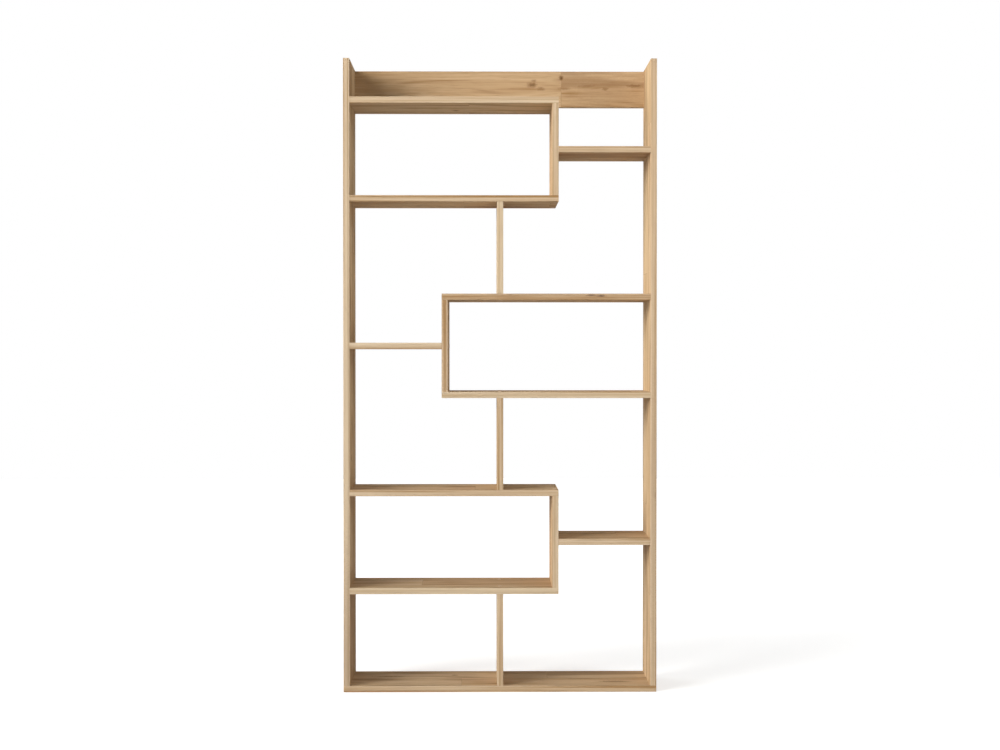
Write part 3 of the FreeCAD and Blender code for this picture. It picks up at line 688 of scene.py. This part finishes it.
# Plank and row of the print that some bands are cut from, lighter or darker as the board's front is
CHOSEN_PLANKS = {
    "middle_box_upper_shelf_edge_band": (31, 10),
    "upper_centre_divider_edge_band": (38, 34),
    "upper_right_short_shelf_edge_band": (3, 24),
    "middle_box_divider_edge_band": (28, 28),
    "right_side_panel_edge_band": (2, 12),
    "bottom_panel_edge_band": (39, 4),
    "middle_centre_divider_edge_band": (4, 24),
    "lower_centre_divider_edge_band": (36, 22),
    "top_box_lower_shelf_edge_band": (15, 4),
    "left_side_panel_edge_band": (22, 16),
    "top_box_divider_edge_band": (7, 6),
    "bottom_box_divider_edge_band": (6, 26),
    "middle_box_lower_shelf_edge_band": (35, 12),
    "left_short_shelf_edge_band": (21, 4),
}


# How much lighter or darker than its plank a piece is printed
TONES = {
    "left_side_panel": 0.13,
    "right_side_panel": 0.05,
    "bottom_panel": 0.23,
    "back_rail": -0.06,
    "top_box_lower_shelf": -0.08,
    "bottom_box_upper_shelf": 0.09,
    "bottom_box_lower_shelf": 0.12,
    "lower_right_short_shelf": -0.04,
    "left_side_panel_edge_band": 0.07,
    "right_side_panel_edge_band": 0.06,
    "bottom_panel_edge_band": -0.06,
    "top_box_divider_edge_band": -0.24,
    "middle_box_lower_shelf_edge_band": -0.06,
    "bottom_box_lower_shelf_edge_band": -0.07,
    "middle_box_divider_edge_band": 0.05,
    "bottom_box_divider_edge_band": 0.03,
    "lower_right_short_shelf_edge_band": -0.06,
    "upper_right_short_shelf_edge_band": 0.20,
    "left_short_shelf_edge_band": 0.25,
    "upper_centre_divider_edge_band": 0.25,
    "middle_centre_divider_edge_band": -0.17,
    "lower_centre_divider_edge_band": 0.03,
}


# Extent of the print that the other cuts come from: planks along, rows across, and metres deep
PRINT_EXTENT = (60, 340, 4)


def print_cut(name, follows_strip, oak):
    """Cut of a board from the endless print; a strip is cut from the middle of a plank."""
    if name in CHOSEN_CUTS:
        return CHOSEN_CUTS[name]
    chance = random.Random(name)
    plank, row, depth = [chance.uniform(0, extent) for extent in PRINT_EXTENT]
    if follows_strip:
        plank, row = CHOSEN_PLANKS.get(name, (round(plank), ROW_PERIOD * round(row / ROW_PERIOD)))
        plank += MIDDLE - PLANK_STAGGER
        row += MIDDLE
    return Cut(plank * oak.plank_length, row * oak.plank_width, depth)


def marked(bench, name, place):
    """Strength of a board's listed marks at a place."""
    strength = 0.0
    for mark in MARKS.get(name, ()):
        inputs = {"Vector": place, "Middle": mark.middle, "Half sizes": mark.halves}
        node = bench.add("ShaderNodeGroup", inputs, node_tree=bpy.data.node_groups["Oak mark"])
        here = bench.number("MULTIPLY", node.outputs["Mark"], mark.strength)
        strength = bench.number("MAXIMUM", strength, here)
    return strength


def oak_material(name, follows_strip, oak):
    """Oak print on a board's faces, or along the strips of its band."""
    material, bench, shader = new_material(f"oak {name}")
    spot = bench.add("ShaderNodeTexCoord").outputs
    turn = Euler() if follows_strip else print_turn(name)
    mapped = bench.add("ShaderNodeMapping", {
        "Vector": spot["UV"] if follows_strip else spot["Object"],
        "Location": print_cut(name, follows_strip, oak), "Rotation": turn,
    })
    if follows_strip:
        strengths = {"Figure": oak.band_figure, "Lines": oak.band_lines, "Planks": oak.band_planks,
                     "Streaks": 0.0, "Tone": 0.0, "Veil": oak.band_veil}
    else:
        strengths = {"Figure": 1.0, "Lines": oak.board_lines, "Planks": oak.board_planks,
                     "Streaks": oak.board_streaks, "Tone": oak.board_tone, "Veil": 0.0}
    strengths["Tone"] += TONES.get(name, 0.0)
    inputs = {"Vector": mapped.outputs["Vector"], "Mark": marked(bench, name, spot["Object"]), **strengths}
    printed = bench.add("ShaderNodeGroup", inputs, node_tree=bpy.data.node_groups["Oak print"]).outputs
    bench.set_inputs(shader, {
        "Base Color": printed["Color"], "Roughness": printed["Roughness"],
        "Normal": bench.bump(printed["Height"], oak.pore_depth), "Specular IOR Level": oak.gloss,
    })
    return material


# Other finishes

# Zinc plate: grains per metre, depth of the scratches in metres, and roughness by scratch
ZINC_CLOUDS = (90.0, 90.0, 90.0)
ZINC_SCRATCHES = (2500.0, 250.0, 250.0)
SCRATCH_DEPTH = 0.00002
SCRATCH_ROUGHNESS = (0.2, 0.8, 0.24, 0.42)


def zinc_material(fitting):
    """Bright zinc plate: faint clouds of passivation and fine rolled scratches."""
    material, bench, shader = new_material("zinc plate")
    place = bench.place()
    clouds = bench.noise(place, ZINC_CLOUDS, detail=3.0)
    scratches = bench.noise(place, ZINC_SCRATCHES)
    bench.set_inputs(shader, {
        "Base Color": bench.blend(clouds, opaque(fitting.zinc_dull), opaque(fitting.zinc_bright)),
        "Roughness": bench.ease(scratches, *SCRATCH_ROUGHNESS),
        "Normal": bench.bump(scratches, SCRATCH_DEPTH),
        "Metallic": 1.0,
    })
    return material


# Beech: grains per metre, fade and strength of the flecks, depth of the grain in metres, and roughness
BEECH_GRAINS = (120.0, 900.0, 900.0)
BEECH_FLECKS = (300.0, 1500.0, 1500.0)
FLECK_FADE = (0.6, 0.7)
FLECK_STRENGTH = 0.6
BEECH_DEPTH = 0.00008
BEECH_ROUGHNESS = 0.7


def beech_material(fitting):
    """Bare turned beech: pale, with short dark flecks."""
    material, bench, shader = new_material("bare beech")
    place = bench.place()
    grain = bench.noise(place, BEECH_GRAINS, detail=3.0)
    flecks = bench.ease(bench.noise(place, BEECH_FLECKS, detail=1.0), *FLECK_FADE)
    colour = bench.blend(grain, opaque(fitting.beech_deep), opaque(fitting.beech_light))
    stain = bench.number("MULTIPLY", flecks, FLECK_STRENGTH)
    bench.set_inputs(shader, {
        "Base Color": bench.blend(stain, colour, opaque(fitting.beech_fleck)),
        "Normal": bench.bump(grain, BEECH_DEPTH),
        "Roughness": BEECH_ROUGHNESS,
    })
    return material


# Cap plastic: grains per metre, shares of its colour between which it is mottled, depth in metres, roughness
CAP_MOTTLE = (220.0, 220.0, 220.0)
CAP_SPARK = (5200.0, 5200.0, 5200.0)
CAP_DARKER_SHARE = 0.92
CAP_PALER_SHARE = 1.06
SPARK_DEPTH = 0.00003
SPARK_ROUGHNESS = (0.3, 0.7, 0.5, 0.62)


def cap_material(colour):
    """Fine matt plastic with the faint mottle of a moulded part."""
    material, bench, shader = new_material("cap plastic")
    place = bench.place()
    mottle = bench.noise(place, CAP_MOTTLE)
    spark = bench.noise(place, CAP_SPARK, detail=1.0)
    paler = tuple(channel * CAP_PALER_SHARE for channel in colour)
    darker = tuple(channel * CAP_DARKER_SHARE for channel in colour)
    bench.set_inputs(shader, {
        "Base Color": bench.blend(mottle, opaque(darker), opaque(paler)),
        "Roughness": bench.ease(spark, *SPARK_ROUGHNESS),
        "Normal": bench.bump(spark, SPARK_DEPTH),
    })
    return material


def dress(piece, material):
    """Gives a piece one material and no other."""
    piece.data.materials.clear()
    piece.data.materials.append(material)


# Modelling

def select_none():
    """Deselects every object."""
    bpy.ops.object.select_all(action="DESELECT")


def select_edges(piece, wanted):
    """Selects, in edit mode, the edges for which wanted(corner, corner) holds."""
    bpy.ops.mesh.select_mode(type="EDGE")
    bpy.ops.mesh.select_all(action="DESELECT")
    mesh = bmesh.from_edit_mesh(piece.data)
    for edge in mesh.edges:
        edge.select_set(wanted(edge.verts[0].co, edge.verts[1].co))
    bmesh.update_edit_mesh(piece.data)


def join(pieces, name):
    """Pieces joined into one with a name."""
    select_none()
    for piece in pieces:
        piece.select_set(True)
    bpy.context.view_layer.objects.active = pieces[0]
    if len(pieces) > 1:
        bpy.ops.object.join()
    joined = bpy.context.view_layer.objects.active
    joined.name = name
    joined.data.name = name
    return joined


# Longest strip as a share of the plank that it is cut from
PLANK_FIT_SHARE = 0.9

# Edges that turn by more than this stay sharp, on strips and on caps
STRIP_SHARP_ANGLE = radians(35)
CAP_SHARP_ANGLE = radians(40)

# A strip of band: its box, the axis it runs along, the axis of its thickness and the side it faces
Strip = namedtuple("Strip", "low high run thin facing")


def strips_of(board):
    """Strips of a board's band: two along its edges, and one between them on each free end."""
    along, across, through = ordered_axes(board)
    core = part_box(board)
    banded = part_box(board + BAND_SUFFIX)
    strips = []
    for thin, run in ((across, along), (along, across)):
        for side, facing in ((0, -1), (1, 1)):
            reach = (banded[side][thin] - core[side][thin]) * facing
            if reach <= 0:
                continue
            low, high = banded[0].copy(), banded[1].copy()
            if thin == along:
                low[across], high[across] = core[0][across], core[1][across]
            edge = (low, high)[1 - side]
            edge[thin] = core[side][thin]
            strips.append(Strip(low, high, run, thin, facing))
    return strips


def model_strip(strip, band):
    """Strip of edge band: a bar whose outer edges are rounded and whose glued edges are just broken."""
    select_none()
    middle = (strip.low + strip.high) / 2
    outside = (strip.high if strip.facing > 0 else strip.low)[strip.thin]
    bpy.ops.mesh.primitive_cube_add(size=1, calc_uvs=False, location=middle, scale=strip.high - strip.low)
    piece = bpy.context.active_object
    bpy.ops.object.transform_apply(location=True, rotation=True, scale=True)
    bpy.ops.object.mode_set(mode="EDIT")

    def runs_along(first, second):
        span = second - first
        return abs(span[strip.run]) > span.length / 2

    def faces_out(first, second):
        return (first[strip.thin] + second[strip.thin] - 2 * middle[strip.thin]) * strip.facing > 0

    def is_glued_edge(first, second):
        return runs_along(first, second) and not faces_out(first, second)

    def is_outer_edge(first, second):
        lies_outside = abs(first[strip.thin] - outside) < band.seam / 2
        return runs_along(first, second) and faces_out(first, second) and lies_outside

    select_edges(piece, is_glued_edge)
    bpy.ops.mesh.bevel(offset=band.seam, segments=1, affect="EDGES")
    select_edges(piece, is_outer_edge)
    bpy.ops.mesh.bevel(offset=band.edge_round, segments=band.round_segments, affect="EDGES")
    bpy.ops.object.mode_set(mode="OBJECT")
    bpy.ops.object.shade_smooth_by_angle(angle=STRIP_SHARP_ANGLE)
    return piece


def lay_print(piece, strip, number, oak):
    """UV map on the print, in metres: along the strip and round its section, within a plank of its own."""
    (wide,) = set(AXES) - {strip.run, strip.thin}
    middle = (strip.low + strip.high) / 2
    length = strip.high[strip.run] - strip.low[strip.run]
    along_share = min(oak.band_along, PLANK_FIT_SHARE * oak.plank_length / length)
    row_place = ROW_PERIOD * number * oak.plank_width
    layer = piece.data.uv_layers.new(name="print")
    for loop in piece.data.loops:
        away = piece.data.vertices[loop.vertex_index].co - middle
        across = (away[wide] + away[strip.thin] * strip.facing) * oak.band_across
        layer.data[loop.index].uv = (away[strip.run] * along_share, across + row_place)


# Corners nearer than this are one corner
MERGE_DISTANCE = 0.000001


def loose_parts(node):
    """Separate solids of a CAD node, as lists of corner places."""
    select_none()
    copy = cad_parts[node].copy()
    copy.data = copy.data.copy()
    copy.parent = None
    bpy.context.scene.collection.objects.link(copy)
    copy.select_set(True)
    bpy.context.view_layer.objects.active = copy
    bpy.ops.object.mode_set(mode="EDIT")
    bpy.ops.mesh.select_all(action="SELECT")
    bpy.ops.mesh.remove_doubles(threshold=MERGE_DISTANCE)
    bpy.ops.mesh.separate(type="LOOSE")
    bpy.ops.object.mode_set(mode="OBJECT")
    parts = list(bpy.context.selected_objects)
    places = [[vertex.co.copy() for vertex in part.data.vertices] for part in parts]
    for part in parts:
        bpy.data.objects.remove(part)
    return places


def box_of(places):
    """Lowest and highest corner of some places."""
    low = Vector(min(place[axis] for place in places) for axis in AXES)
    high = Vector(max(place[axis] for place in places) for axis in AXES)
    return low, high


# A cap's seat: the middle of its inner face, the way it faces, and its sizes
CapSeat = namedtuple("CapSeat", "middle facing radius thickness peg_radius peg_length")

# Shares of a cap's radius: corners beyond the first are on its rim, and those within the second on its peg
RIM_FROM_SHARE = 0.98
PEG_WITHIN_SHARE = 0.6


def cap_seats():
    """Seats of all the caps, read from the solids of the frame."""
    seats = []
    for places in loose_parts("screw_caps"):
        low, high = box_of(places)
        size = high - low
        axis = min(AXES, key=lambda number: size[number])
        middle = (low + high) / 2
        radius = max(size) / 2

        def from_axis(place):
            offset = place - middle
            offset[axis] = 0.0
            return offset.length

        rim = [place[axis] for place in places if from_axis(place) > RIM_FROM_SHARE * radius]
        peg = [from_axis(place) for place in places if from_axis(place) < PEG_WITHIN_SHARE * radius]
        outward = 1 if sum(rim) / len(rim) > middle[axis] else -1
        inner = min(rim) if outward > 0 else max(rim)
        outer = high[axis] if outward > 0 else low[axis]
        back = low[axis] if outward > 0 else high[axis]
        middle[axis] = inner
        facing = Vector((0.0, 0.0, 0.0))
        facing[axis] = outward
        seats.append(CapSeat(middle, facing, radius, abs(outer - inner), max(peg), abs(inner - back)))
    return seats


# A face looks down where its normal's height is below this
DOWNWARDS = -0.9


def model_cap(seat, cap):
    """Cap modelled at the origin, facing up: a disc with an upright rim, a crowned top and a peg below."""
    select_none()
    bpy.ops.mesh.primitive_circle_add(vertices=cap.facets, radius=seat.radius, fill_type="NGON")
    piece = bpy.context.active_object
    bpy.ops.object.mode_set(mode="EDIT")
    bpy.ops.mesh.select_all(action="SELECT")
    rim = seat.thickness * cap.rim_share
    bpy.ops.mesh.extrude_region_move(TRANSFORM_OT_translate={"value": (0, 0, rim)})
    fall = seat.radius * (1 - cap.flat_share)
    rise = seat.thickness - rim
    before = (0.0, 0.0)
    for ring in range(1, cap.crown_rings + 1):
        angle = pi / 2 * ring / cap.crown_rings
        now = (fall * (1 - cos(angle)), rise * sin(angle))
        bpy.ops.mesh.inset(thickness=now[0] - before[0], depth=now[1] - before[1])
        before = now
    bpy.ops.mesh.select_mode(type="FACE")
    bpy.ops.mesh.select_all(action="DESELECT")
    mesh = bmesh.from_edit_mesh(piece.data)
    for face in mesh.faces:
        is_base = len(face.verts) == cap.facets and face.calc_center_median().z < rim / 2
        face.select_set(is_base or face.normal.z < DOWNWARDS)
    bmesh.update_edit_mesh(piece.data)
    bpy.ops.mesh.inset(thickness=seat.radius - seat.peg_radius, depth=0)
    bpy.ops.mesh.extrude_region_move(TRANSFORM_OT_translate={"value": (0, 0, -seat.peg_length)})
    bpy.ops.mesh.select_all(action="SELECT")
    bpy.ops.mesh.normals_make_consistent(inside=False)
    bpy.ops.object.mode_set(mode="OBJECT")
    bpy.ops.object.shade_smooth_by_angle(angle=CAP_SHARP_ANGLE)
    return piece


# Operators

class BOOKSHELF_OT_print_boards(bpy.types.Operator):
    """Print the oak decor on every board"""
    bl_idname = "bookshelf.print_boards"
    bl_label = "Print boards"

    def execute(self, context):
        oak = context.scene.bookshelf_oak
        oak_print_group(oak)
        mark_group()
        for board in BOARDS:
            dress(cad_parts[board], oak_material(board, False, oak))
        return {"FINISHED"}


class BOOKSHELF_OT_model_edge_bands(bpy.types.Operator):
    """Model the strips of edge band and lay the print along them"""
    bl_idname = "bookshelf.model_edge_bands"
    bl_label = "Model edge bands"

    def execute(self, context):
        oak = context.scene.bookshelf_oak
        band = context.scene.bookshelf_band
        for board in BOARDS:
            pieces = []
            for number, strip in enumerate(strips_of(board)):
                piece = model_strip(strip, band)
                lay_print(piece, strip, number, oak)
                pieces.append(piece)
            joined = join(pieces, f"{board}_banding")
            dress(joined, oak_material(board + BAND_SUFFIX, True, oak))
            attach(joined, BODY)
            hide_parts(board + BAND_SUFFIX)
        return {"FINISHED"}


class BOOKSHELF_OT_model_screw_caps(bpy.types.Operator):
    """Model one cover cap and press a copy into every seat"""
    bl_idname = "bookshelf.model_screw_caps"
    bl_label = "Model screw caps"

    def execute(self, context):
        cap = context.scene.bookshelf_cap
        seats = cap_seats()
        pattern = model_cap(seats[0], cap)
        copies = []
        for seat in seats:
            copy = pattern.copy()
            copy.data = pattern.data.copy()
            turn = seat.facing.to_track_quat("Z", "Y").to_matrix().to_4x4()
            copy.data.transform(Matrix.Translation(seat.middle) @ turn)
            context.scene.collection.objects.link(copy)
            copies.append(copy)
        bpy.data.objects.remove(pattern)
        caps = join(copies, "screw_cap_set")
        dress(caps, cap_material(cap.colour))
        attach(caps, BODY)
        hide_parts("screw_caps")
        return {"FINISHED"}


class BOOKSHELF_OT_finish_fittings(bpy.types.Operator):
    """Finish the screws, dowels and keyhole plates"""
    bl_idname = "bookshelf.finish_fittings"
    bl_label = "Finish fittings"

    def execute(self, context):
        fitting = context.scene.bookshelf_fitting
        zinc = zinc_material(fitting)
        for node in ("assembly_screws", "wall_hanger_plates", "wall_hanger_screws"):
            dress(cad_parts[node], zinc)
        dress(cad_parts["wood_dowels"], beech_material(fitting))
        return {"FINISHED"}


def add_lamp(name, place, aim, size, power):
    """Square soft lamp that shines at a point."""
    select_none()
    turn = (Vector(aim) - Vector(place)).to_track_quat("-Z", "Y").to_euler()
    bpy.ops.object.light_add(type="AREA", location=place, rotation=turn)
    lamp = bpy.context.active_object
    lamp.name = name
    lamp.data.energy = power
    lamp.data.size = size
    return lamp


def sees_background(bench):
    """One for rays from the eye, off gloss and through glass, and zero for light on the object."""
    path = bench.add("ShaderNodeLightPath").outputs
    seen = bench.number("MAXIMUM", path["Is Camera Ray"], path["Is Glossy Ray"])
    return bench.number("MAXIMUM", seen, path["Is Transmission Ray"])


def light_sky(scene, strength):
    """Even white light from all round, on a white background."""
    world = bpy.data.worlds.new("white studio")
    world.use_nodes = True
    world.node_tree.nodes.clear()
    bench = NodeBench(world.node_tree)
    level = bench.number("MAXIMUM", sees_background(bench), strength)
    sky = bench.add("ShaderNodeBackground", {"Color": WHITE, "Strength": level})
    bench.add("ShaderNodeOutputWorld", {"Surface": sky.outputs["Background"]})
    scene.world = world


# Floor: grains per metre of its mottle, the share of its colour that worn spots have, and its roughness
FLOOR_MOTTLE = (6.0, 6.0, 6.0)
FLOOR_WORN_SHARE = 0.98
FLOOR_ROUGHNESS = 0.9


def floor_material(stage):
    """Pale matt floor that the eye sees as white, apart from the object's shadow."""
    material, bench, shader = new_material("pale floor")
    place = bench.place()
    mottle = bench.noise(place, FLOOR_MOTTLE, detail=3.0)
    worn = tuple(channel * FLOOR_WORN_SHARE for channel in stage.floor_colour)
    away = bench.length(place)
    lift = bench.ease(away, stage.lift_start, stage.lift_end, stage.near_lift, stage.far_lift)
    bench.set_inputs(shader, {
        "Base Color": bench.blend(mottle, opaque(worn), opaque(stage.floor_colour)),
        "Roughness": FLOOR_ROUGHNESS,
        "Emission Color": WHITE,
        "Emission Strength": bench.number("MULTIPLY", sees_background(bench), lift),
    })
    return material


class BOOKSHELF_OT_set_stage(bpy.types.Operator):
    """Set up the floor, the lamps, the background and the camera"""
    bl_idname = "bookshelf.set_stage"
    bl_label = "Set stage"

    def execute(self, context):
        stage = context.scene.bookshelf_stage
        middle = (CAD_BOX[0] + CAD_BOX[1]) / 2
        select_none()
        bpy.ops.mesh.primitive_plane_add(size=stage.floor_size, location=(0, 0, CAD_BOX[0].z))
        floor = context.active_object
        floor.name = "floor"
        dress(floor, floor_material(stage))
        key = add_lamp("key_lamp", stage.key_place, stage.key_aim, stage.key_size, stage.key_power)
        key.data.spread = stage.key_spread
        add_lamp("side_lamp", stage.side_place, middle, stage.side_size, stage.side_power)
        add_lamp("fill_lamp", stage.fill_place, middle, stage.fill_size, stage.fill_power)
        add_lamp("back_lamp", stage.back_place, middle, stage.back_size, stage.back_power)
        light_sky(context.scene, stage.sky_strength)
        aim = Vector(stage.camera_aim) - Vector(stage.camera_place)
        turn = aim.to_track_quat("-Z", "Y").to_euler()
        bpy.ops.object.camera_add(location=stage.camera_place, rotation=turn)
        camera = context.active_object
        camera.data.lens = stage.camera_lens
        context.scene.camera = camera
        context.scene.view_settings.view_transform = "Standard"
        return {"FINISHED"}


class VIEW3D_PT_bookshelf(bpy.types.Panel):
    """Steps and settings of the bookshelf"""
    bl_label = "Bookshelf"
    bl_space_type = "VIEW_3D"
    bl_region_type = "UI"
    bl_category = "Bookshelf"

    def draw(self, context):
        for operator in OPERATORS:
            self.layout.operator(operator.bl_idname)
        for attribute, settings in SETTINGS.items():
            box = self.layout.box()
            box.label(text=settings.__doc__)
            for name in settings.__annotations__:
                box.prop(getattr(context.scene, attribute), name)


OPERATORS = (
    BOOKSHELF_OT_print_boards,
    BOOKSHELF_OT_model_edge_bands,
    BOOKSHELF_OT_model_screw_caps,
    BOOKSHELF_OT_finish_fittings,
    BOOKSHELF_OT_set_stage,
)
SETTINGS = {
    "bookshelf_oak": OakPrintSettings,
    "bookshelf_band": EdgeBandSettings,
    "bookshelf_cap": ScrewCapSettings,
    "bookshelf_fitting": FittingSettings,
    "bookshelf_stage": StageSettings,
}


def register():
    """Adds the settings, operators and panel to Blender."""
    for settings in SETTINGS.values():
        bpy.utils.register_class(settings)
    for attribute, settings in SETTINGS.items():
        setattr(bpy.types.Scene, attribute, bpy.props.PointerProperty(type=settings))
    for operator in OPERATORS:
        bpy.utils.register_class(operator)
    bpy.utils.register_class(VIEW3D_PT_bookshelf)


def unregister():
    """Takes them out again."""
    bpy.utils.unregister_class(VIEW3D_PT_bookshelf)
    for operator in reversed(OPERATORS):
        bpy.utils.unregister_class(operator)
    for attribute in SETTINGS:
        delattr(bpy.types.Scene, attribute)
    for settings in reversed(SETTINGS.values()):
        bpy.utils.unregister_class(settings)


def main():
    """Builds the looks."""
    register()
    bpy.ops.bookshelf.print_boards()
    bpy.ops.bookshelf.model_edge_bands()
    bpy.ops.bookshelf.model_screw_caps()
    bpy.ops.bookshelf.finish_fittings()
    bpy.ops.bookshelf.set_stage()


if __name__ == "__main__":
    main()
